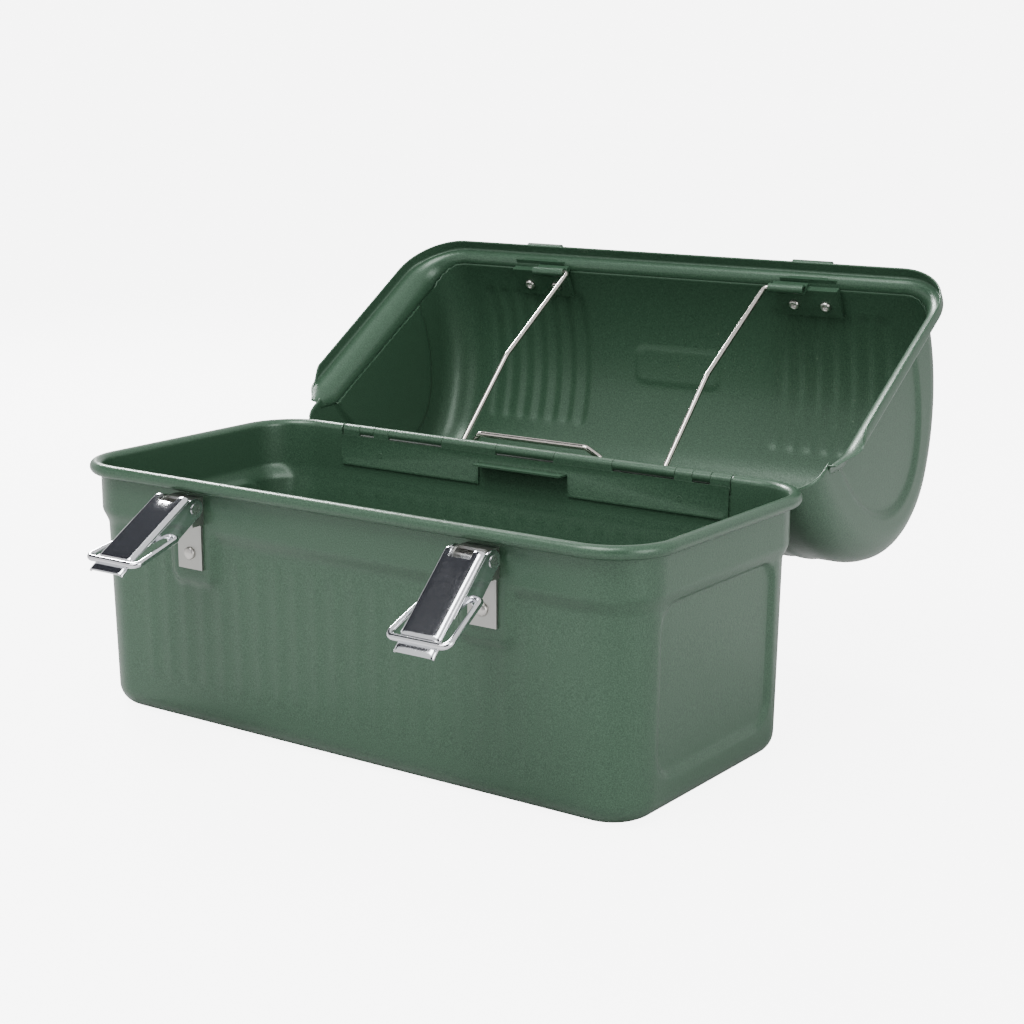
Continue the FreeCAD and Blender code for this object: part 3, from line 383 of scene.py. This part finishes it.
def build_lid():
    """The vault with rounded ends and flat end walls, pressed with ribs, a blank badge seat and D panels."""
    stations = []
    flat_half = DOME_X - DOME_END
    base = arch_points(0)
    centre = np.array([DOME_CENTRE, LID_EDGE])
    for x in np.linspace(0, flat_half, 92):
        stations.append((x, base))
    for angle in np.linspace(0, math.pi / 2, 12)[1:]:
        inset = DOME_END * (1 - math.cos(angle))
        stations.append((flat_half + DOME_END * math.sin(angle), arch_points(inset)))
    end = stations[-1][1]
    for keep in np.linspace(1, 0.02, 46)[1:]:
        stations.append((DOME_X, centre + (end - centre) * keep))
    stations = [(-x, p) for x, p in stations[:0:-1]] + stations
    grid = np.array([np.column_stack([np.full(len(p), x), p]) for x, p in stations])
    normal = grid_normals(grid)
    if (normal[len(grid) // 2, grid.shape[1] // 2] @ np.array([0, 0, 1])) < 0:
        normal = -normal
    normal[0] = normal[1]
    normal[-1] = normal[-2]

    x, s, h = np.moveaxis(grid, -1, 0)
    lengths = np.concatenate([[0], np.cumsum(np.linalg.norm(np.diff(base, axis=0), axis=1))])
    run = np.broadcast_to(lengths, x.shape)

    def run_at(height, front):
        """Arc length from the back edge where the section reaches a height on one side."""
        half = len(lengths) // 2
        part = slice(half, None) if front else slice(0, half)
        rows, values = base[part, 1], lengths[part]
        if front:
            rows, values = rows[::-1], values[::-1]
        return float(np.interp(height, rows, values))

    press = np.zeros_like(x)
    vault = np.abs(x) <= flat_half + 4
    for side in (-1, 1):
        for n in range(LID_RIBS):
            across = side * (LID_RIB_FIRST + LID_RIB_PITCH * n) - LID_RIB_SHIFT
            for front in (True, False):
                a, b = sorted((run_at(LID_RIB_LOW, front), run_at(LID_RIB_HIGH, front)))
                press += LID_RIB_DEPTH * (1 - smooth(0.0, LID_RIB_WIDTH, capsule(x, run, across, a, b)))
    low, high = sorted((run_at(BADGE_LOW, True), run_at(BADGE_HIGH, True)))
    badge = rounded_box(x - BADGE_X, run - (low + high) / 2, BADGE_HALF, (high - low) / 2, BADGE_CORNER)
    press -= BADGE_DEPTH * (1 - smooth(-1.5, 0.5, badge))
    press *= vault
    oval = np.hypot((s - OVAL_S) / OVAL_HALF, np.maximum(h - OVAL_H, 0) / OVAL_RISE)
    panel = (1 - smooth(0.965, 1.02, oval)) * smooth(5.0, 8.0, h)
    press -= OVAL_DEPTH * panel * (np.abs(x) > DOME_X - 0.01)
    outer = grid + normal * press[..., None]
    inner = outer - normal * LID_SHEET
    inner[:, 0, 2] = inner[:, -1, 2] = LID_EDGE
    for skin in (outer, inner):
        near = (skin[..., 2] < 20) & (skin[..., 1] > FLANGE_START - 3)
        near &= (np.abs(skin[..., 0]) > DOME_X - DOME_END) | (skin[..., 1] > DOME_CENTRE)
        raised = np.maximum(skin[..., 2], flare_top(skin[..., 0], skin[..., 1]))
        skin[..., 2] = np.where(near, raised, skin[..., 2])
    rows, columns = grid.shape[:2]
    points = np.concatenate([outer.reshape(-1, 3), inner.reshape(-1, 3)])
    faces = grid_faces(rows, columns)
    offset = rows * columns
    faces += [(a + offset, d + offset, c + offset, b + offset) for a, b, c, d in faces]
    for column in (0, columns - 1):
        for i in range(rows - 1):
            a, b = i * columns + column, (i + 1) * columns + column
            faces.append((a, b, b + offset, a + offset))
    for row in (0, rows - 1):
        for j in range(columns - 1):
            a, b = row * columns + j, row * columns + j + 1
            faces.append((a, b, b + offset, a + offset))
    return make_mesh("lid_dome", lid_point(points), faces, "lid", "green_paint", GREEN, "lid_shell")


def three_sides(half_x, front, corner, side=90, turn=20, long=200):
    """Points round the right side, front and left side of an outline, starting behind at FLANGE_START."""
    run = np.linspace(FLANGE_START, front - corner, side, endpoint=False)
    points = [np.stack([np.full(side, half_x), run], axis=-1)]
    angle = np.linspace(0, math.pi / 2, turn, endpoint=False)
    across, forward = half_x - corner + corner * np.cos(angle), front - corner + corner * np.sin(angle)
    points.append(np.stack([across, forward], axis=-1))
    points.append(np.stack([np.linspace(half_x - corner, 0, long // 2), np.full(long // 2, front)], axis=-1))
    right = np.concatenate(points)
    return np.concatenate([right, right[:-1][::-1] * np.array([-1, 1])])


INNER_LINE = three_sides(DOME_X, DOME_BACK + 2 * DOME_HALF, DOME_END)
OUTER_LINE = three_sides(FLANGE_X, FLANGE_S, FLANGE_CORNER)
FULL_OVERHANG = np.linalg.norm(OUTER_LINE - INNER_LINE, axis=1)
REACH_OUT = (OUTER_LINE - INNER_LINE) / FULL_OVERHANG[:, None]
# the flange tapers to under half its reach at its two ends, by the hinge
GROWN = smooth(FLANGE_START - 3, FLANGE_START + 14, INNER_LINE[:, 1])
OVERHANG = FULL_OVERHANG * (0.3 + 0.7 * GROWN)


def flare_top(x, s):
    """Height where the wall begins to flare out to the flange, for points of the wall."""
    here = np.stack([np.ravel(x), np.ravel(s)], axis=-1)
    line = INNER_LINE[::4]
    nearest = []
    for part in np.array_split(here, 40):
        nearest.append(np.argmin(((part[:, None, :] - line[None]) ** 2).sum(axis=-1), axis=1))
    height = FLARE_BASE + OVERHANG[::4][np.concatenate(nearest)] * FLARE_SLOPE
    return np.where(here[:, 1] < FLANGE_START + 3, LID_EDGE, height).reshape(np.shape(x))


def build_flange():
    """The flare and the flange that fit over the tub's rim on three sides."""
    round_out, lip, t = FLANGE_ROUND, FLANGE_LIP, LID_SHEET
    full = OVERHANG[:, None]
    reach, rise = full - round_out, full * FLARE_SLOPE
    # each entry of the two skins is (outward from the wall, height); the flare is a quarter ellipse
    outer, inner = [], []
    for a in np.linspace(0, math.pi / 2, 12):
        out, drop, top = reach * (1 - math.cos(a)), 1 - math.sin(a), 1.0 * (a == 0)
        outer.append((out + FLARE_PROUD, FLARE_BASE + rise * drop + top))
        inner.append((out - t * math.cos(a) - FLARE_PROUD, FLARE_BASE + rise * drop - t * math.sin(a) + top))
    for a in np.linspace(math.pi / 2, 0, 7)[1:]:
        height = FLARE_BASE - round_out * (1 - math.sin(a))
        outer.append((full - round_out * (1 - math.cos(a)), height + 0 * full))
    for a in np.linspace(0, -math.pi, 9):
        outer.append((full - lip + lip * math.cos(a), -FLANGE_DROP + lip + lip * math.sin(a) + 0 * full))
    bend = round_out - t
    for a in np.linspace(0, math.pi / 2, 6)[:-1]:
        outer.append((full - t - bend * (1 - math.cos(a)), LID_EDGE - bend * (1 - math.sin(a)) + 0 * full))
    # towards the tapered ends the lip drops less and less
    dropped = np.maximum(0.05, smooth(FLANGE_START + 13, FLANGE_START + 24, INNER_LINE[:, 1]))[:, None]
    rows = []
    for out, height in outer + inner[::-1]:
        height = np.where(height < LID_EDGE, LID_EDGE + (height - LID_EDGE) * dropped, height)
        flat = INNER_LINE + REACH_OUT * out
        rows.append(np.column_stack([flat, np.broadcast_to(height, full.shape)[:, 0]]))
    grid = np.array(rows)
    count = grid.shape[1]
    faces = grid_faces(len(rows), count, closed_rows=True)
    faces.append(tuple(i * count for i in range(len(rows))))
    faces.append(tuple(i * count + count - 1 for i in reversed(range(len(rows)))))
    points = grid.reshape(-1, 3).tolist()

    # a small web closes each end
    web = [(out[0, 0], max(LID_EDGE, height[0, 0])) for out, height in outer[:17]]
    web += [(OVERHANG[0] - t, LID_EDGE), (-t, LID_EDGE)]
    many = len(web)
    for sign in (-1, 1):
        start = len(points)
        for depth in (0.1, 0.7):
            points += [(sign * (DOME_X + out), FLANGE_START + depth, height) for out, height in web]
        faces += [tuple(range(start, start + many)), tuple(reversed(range(start + many, start + 2 * many)))]
        for n in range(many):
            a, b = start + n, start + (n + 1) % many
            faces.append((a, b, b + many, a + many))
    return make_mesh("lid_flange", lid_point(points), faces, "lid", "green_paint", GREEN)


# ---------------------------------------------------------------- latches and rivets

def latch_frame(side):
    """A latch lever's pivot and how far it stands open, from its joint."""
    joint = next(j for j in frame["joints"] if j["name"] == f"latch_lever_{side}")
    return np.array(joint["pos_m"]) / MM, math.radians(joint["range_deg"][1])


def lever_point(points, side):
    """Lever coordinates (x, out, up), drawn shut, to world millimetres."""
    pivot, opened = latch_frame(side)
    x, out, up = np.moveaxis(np.asarray(points, float), -1, 0)
    c, d = math.cos(opened), math.sin(opened)
    return np.stack([pivot[0] + x, pivot[1] - out * c + up * d, pivot[2] + out * d + up * c], axis=-1)


def build_lever(side):
    """The pressed lever: plate with rolled long edges, notch over the pin, side flanges and a stepped lip."""
    half, face, edge = 9.3, 7.0, 1.5
    across = [-half + edge, -5.5, -2.5, 0, 2.5, 5.5, half - edge]
    bend = np.linspace(0, math.pi / 2, 7)
    left = [(-half + edge - edge * math.sin(a), edge * (1 - math.cos(a))) for a in bend[:0:-1]]
    section = left + [(x, 0.0) for x in across] + [(-x, d) for x, d in left[::-1]]
    # each station is (up, drop from the face, share of the rolled edge's depth)
    stations = [(-0.8, 0.5, 1), (-1.6, 0.1, 1)]
    stations += [(up, 0, 1) for up in (-2.4, -5.4, -12, -20, -28, -33)]
    stations += [(-38, 0, 0.9), (-41.5, 0, 0.8), (-42.4, 0.0, 0.75), (-42.7, 0.1, 0.75)]
    stations += [(-43.2, 0.6, 0.7), (-43.7, 1.1, 0.65)]
    lip = ((-44.1, 1.2), (-44.6, 1.22), (-48, 1.3), (-50.1, 1.4), (-50.8, 1.7))
    stations += [(up, drop, 0.6) for up, drop in lip]
    points = [(x, face - drop - d * share, up) for up, drop, share in stations for x, d in section]
    columns = len(section)
    faces = []
    for i in range(len(stations) - 1):
        for j in range(columns - 1):
            inside = abs(section[j][0] + section[j + 1][0]) < 11 and section[j][1] + section[j + 1][1] < 0.01
            if stations[i + 1][0] > -5.5 and inside:
                continue
            a = i * columns + j
            faces.append((a, a + 1, a + 1 + columns, a + columns))
    lobes = [((0.0, 0.0), 4.7, 20, 200), ((-2.0, -17.5), 3.2, 150, 290)]
    outline = [(face - edge, -0.8)]
    for (out, up), radius, start, end in lobes:
        for angle in np.radians(np.linspace(start, end, 14)):
            outline.append((out + radius * math.cos(angle), up + radius * math.sin(angle)))
    for t in np.linspace(0.15, 1, 9):
        outline.append((-0.9 + (face - edge + 0.9) * t, -20.5 - 11.0 * t**1.7 + 1.2 * math.sin(math.pi * t)))
    outline.append((face - edge, -33))
    for sign in (-1, 1):
        start = len(points)
        points += [(sign * half, out, up) for out, up in outline]
        ids = list(range(start, len(points)))
        faces.append(tuple(ids if sign > 0 else ids[::-1]))
    lever = make_mesh(f"latch_lever_plate_{side}", lever_point(points, side), faces, f"lever_{side}",
                      "latch_chrome", LOOKS["latch_chrome"], f"latch_lever_{side}")
    solid = lever.modifiers.new("sheet", "SOLIDIFY")
    solid.thickness, solid.offset = 1.0 * MM, -1
    bevel = lever.modifiers.new("edge", "BEVEL")
    bevel.width, bevel.segments, bevel.limit_method = 0.22 * MM, 2, "ANGLE"
    return lever


def lathe(centre, axis, profile, steps=32):
    """Points and faces of a profile of (radius, along the axis) turned about an axis."""
    axis = Vector(axis).normalized()
    side = axis.orthogonal().normalized()
    other = axis.cross(side)
    points, faces = [], []
    for radius, along in profile:
        for n in range(steps):
            angle = 2 * math.pi * n / steps
            turned = side * (radius * math.cos(angle)) + other * (radius * math.sin(angle))
            points.append(tuple(Vector(centre) + axis * along + turned))
    for i in range(len(profile) - 1):
        for n in range(steps):
            a, b = i * steps + n, i * steps + (n + 1) % steps
            faces.append((a, b, b + steps, a + steps))
    faces.append(tuple(reversed(range(steps))))
    faces.append(tuple(range((len(profile) - 1) * steps, len(profile) * steps)))
    return points, faces


DOMED = [(3.0, 0.0), (3.05, 0.35), (2.85, 0.9), (2.3, 1.4), (1.4, 1.7), (0.4, 1.8)]
HOLLOW = [(2.9, 0.0), (2.95, 0.5), (2.6, 1.3), (2.1, 1.65), (1.6, 1.5), (1.3, 1.0), (1.15, 0.1), (0.3, 0.0)]
FLAT = [(3, 0), (2.9, 0.6), (2.2, 0.95), (0.4, 1.0)]


def build_rivets(name, heads, body, node):
    """Rivet heads as (centre, outward axis, profile) in world millimetres, in one piece."""
    points, faces = [], []
    for centre, axis, profile in heads:
        more, more_faces = lathe(centre, axis, profile)
        faces += [tuple(i + len(points) for i in face) for face in more_faces]
        points += more
    return make_mesh(name, points, faces, body, "rivet_steel", LOOKS["rivet_steel"], node)


def build_all_rivets():
    """The rivets through the lid, keepers and bail brackets, and those that hold the latch brackets."""
    wall = DOME_BACK + 2 * DOME_HALF
    forward = Vector(lid_point([0, 1, 0]) - lid_point([0, 0, 0]))
    for side, sign in (("left", -1), ("right", 1)):
        heads = []
        for offset in (-RIVET_GAP, RIVET_GAP):
            x = sign * LATCH_X + offset
            heads.append((lid_point([x, wall - LID_SHEET - LID_PLATES, LID_RIVET_H]), -forward, HOLLOW))
            heads.append((lid_point([x, wall + KEEPER_SHEET, LID_RIVET_H]), forward, DOMED))
        build_rivets(f"lid_rivet_heads_{side}", heads, "lid", f"lid_rivets_{side}")
        x = sign * LATCH_X
        heads = [((x, -COLLAR_Y - LATCH_PLATE, z), (0, -1, 0), DOMED) for z in LATCH_RIVET_Z]
        heads += [((x, -COLLAR_Y + SHEET, z), (0, 1, 0), FLAT) for z in LATCH_RIVET_Z]
        build_rivets(f"latch_rivet_heads_{side}", heads, "base", f"latch_bracket_rivets_{side}")


def build_leaf_face():
    """The flat face of the hinge leaf inside the tub, cut away under the bail's tab, with two spot welds."""
    front = node_box("hinge_pin")[0][1] - 2.5
    low, high, tab, round_end = HINGE_Z - LEAF_LOW, HINGE_Z - LEAF_HIGH, TAB_HALF, LEAF_CORNER
    corner = [(HINGE_HALF, high)]
    for a in np.linspace(0, math.pi / 2, 6):
        corner.append((HINGE_HALF - round_end * (1 - math.cos(a)), low + round_end * (1 - math.sin(a))))
    corner += [(tab + 3.0, low), (tab + 0.9, low + 0.9), (tab, low + 3.0), (tab, HINGE_Z - TAB_TOP)]
    outline = corner + [(-x, z) for x, z in reversed(corner)]
    many = len(outline)
    points = [(x, y, z) for y in (front, front + 0.4) for x, z in outline]
    faces = [tuple(range(many)), tuple(reversed(range(many, 2 * many)))]
    faces += [(n, (n + 1) % many, many + (n + 1) % many, many + n) for n in range(many)]
    dimple = [(1.5, 0), (1.4, 0.2), (0.9, 0.05), (0.3, 0)]
    for x in (-WELD_X, WELD_X):
        weld, weld_faces = lathe((x, front + 0.05, HINGE_Z - WELD_DROP), (0, -1, 0), dimple, 20)
        faces += [tuple(i + len(points) for i in face) for face in weld_faces]
        points += weld
    leaf = make_mesh("hinge_leaf_face", points, faces, "base", "hinge_steel", GREEN)
    bevel = leaf.modifiers.new("edge", "BEVEL")
    bevel.width, bevel.segments, bevel.limit_method = 0.15 * MM, 2, "ANGLE"
    return leaf


build_tub()
build_leaf_face()
build_lid()
build_flange()
for side_name in ("left", "right"):
    build_lever(side_name)
build_all_rivets()

slots = {row["node"]: row["material_slot"] for row in frame["record"]["subparts"]}
for node, item in frame["nodes"].items():
    item.data.materials.clear()
    item.data.materials.append(LOOKS[slots[node]])


# ---------------------------------------------------------------- studio

# brightness of floor and sky to the camera, light that the sky gives, what the floor reflects by itself
BACKDROP, SKY, FLOOR_REFLECTS, FLOOR_HALF = 7.0, 1.0, 0.6, 8
CAMERA_PLACE, CAMERA_AZIMUTH, CAMERA_TILT, CAMERA_LENS = (0.55791, -0.71617, 0.30615), 35.596, -12.633, 70.34


def stage_floor():
    """A pale floor that glows for the camera, so that no horizon shows."""
    half = FLOOR_HALF
    mesh = bpy.data.meshes.new("floor")
    corners = [(-half, -half, 0), (half, -half, 0), (half, half, 0), (-half, half, 0)]
    mesh.from_pydata(corners, [], [(0, 1, 2, 3)])
    floor = bpy.data.objects.new("floor", mesh)
    bpy.context.scene.collection.objects.link(floor)
    material, nodes, links, shader = new_material("floor")
    shader.inputs["Base Color"].default_value = (0.55, 0.55, 0.55, 1)
    shader.inputs["Roughness"].default_value = 1
    shader.inputs["Specular IOR Level"].default_value = 0
    path = nodes.new("ShaderNodeLightPath")
    glow = nodes.new("ShaderNodeMath")
    glow.operation = "MULTIPLY"
    glow.inputs[1].default_value = BACKDROP - FLOOR_REFLECTS
    shader.inputs["Emission Color"].default_value = (1, 1, 1, 1)
    links.new(path.outputs["Is Camera Ray"], glow.inputs[0])
    links.new(glow.outputs["Value"], shader.inputs["Emission Strength"])
    mesh.materials.append(material)


def dark_card(name, place, target, half):
    """A black card for the bright plate to mirror; the camera doesn't see it."""
    aim = (Vector(target) - Vector(place)).to_track_quat("-Z", "Y")
    signs = ((-1, -1), (1, -1), (1, 1), (-1, 1))
    corners = [aim @ Vector((x * half, y * half, 0)) + Vector(place) for x, y in signs]
    mesh = bpy.data.meshes.new(name)
    mesh.from_pydata(corners, [], [(0, 1, 2, 3)])
    card = bpy.data.objects.new(name, mesh)
    bpy.context.scene.collection.objects.link(card)
    material, _, _, shader = new_material(name)
    shader.inputs["Base Color"].default_value = (0.015, 0.017, 0.023, 1)
    shader.inputs["Roughness"].default_value = 1
    mesh.materials.append(material)
    card.visible_camera = card.visible_diffuse = False


def area_light(name, place, target, size, power):
    """A rectangular softbox turned to its target."""
    light = bpy.data.lights.new(name, "AREA")
    light.shape, light.size, light.size_y, light.energy = "RECTANGLE", size[0], size[1], power
    item = bpy.data.objects.new(name, light)
    item.location = place
    item.rotation_euler = (Vector(target) - Vector(place)).to_track_quat("-Z", "Y").to_euler()
    bpy.context.scene.collection.objects.link(item)


stage_floor()
dark_card("upper_card", (-1.0, -0.15, 1.15), (0, 0, 0.1), 0.62)
dark_card("front_card", (1.35, -1.75, 0.7), (0, 0, 0.1), 0.8)
world = bpy.context.scene.world or bpy.data.worlds.new("World")
bpy.context.scene.world = world
world.use_nodes = True
sky = world.node_tree.nodes["Background"]
sky.inputs["Color"].default_value = (1, 1, 1, 1)
seen = world.node_tree.nodes.new("ShaderNodeLightPath")
level = world.node_tree.nodes.new("ShaderNodeMapRange")
level.inputs["To Min"].default_value = SKY
level.inputs["To Max"].default_value = BACKDROP
world.node_tree.links.new(seen.outputs["Is Camera Ray"], level.inputs["Value"])
world.node_tree.links.new(level.outputs["Result"], sky.inputs["Strength"])
area_light("top", (-0.2, -0.8, 1.75), (0, 0.15, 0.15), (1.4, 1.0), 46)
area_light("side", (1.7, -0.3, 0.6), (0.1, 0, 0.1), (0.8, 1.0), 13)
area_light("left", (-1.1, 0.6, 0.95), (0, 0.15, 0.15), (0.3, 0.3), 24)

camera = bpy.data.cameras.new("camera")
camera.lens, camera.sensor_width, camera.clip_end = CAMERA_LENS, 36.0, 50
view = bpy.data.objects.new("camera", camera)
view.location = CAMERA_PLACE
azimuth, tilt = math.radians(CAMERA_AZIMUTH), math.radians(CAMERA_TILT)
aim = Vector((-math.sin(azimuth) * math.cos(tilt), math.cos(azimuth) * math.cos(tilt), math.sin(tilt)))
view.rotation_euler = aim.to_track_quat("-Z", "Y").to_euler()
bpy.context.scene.collection.objects.link(view)
bpy.context.scene.camera = view
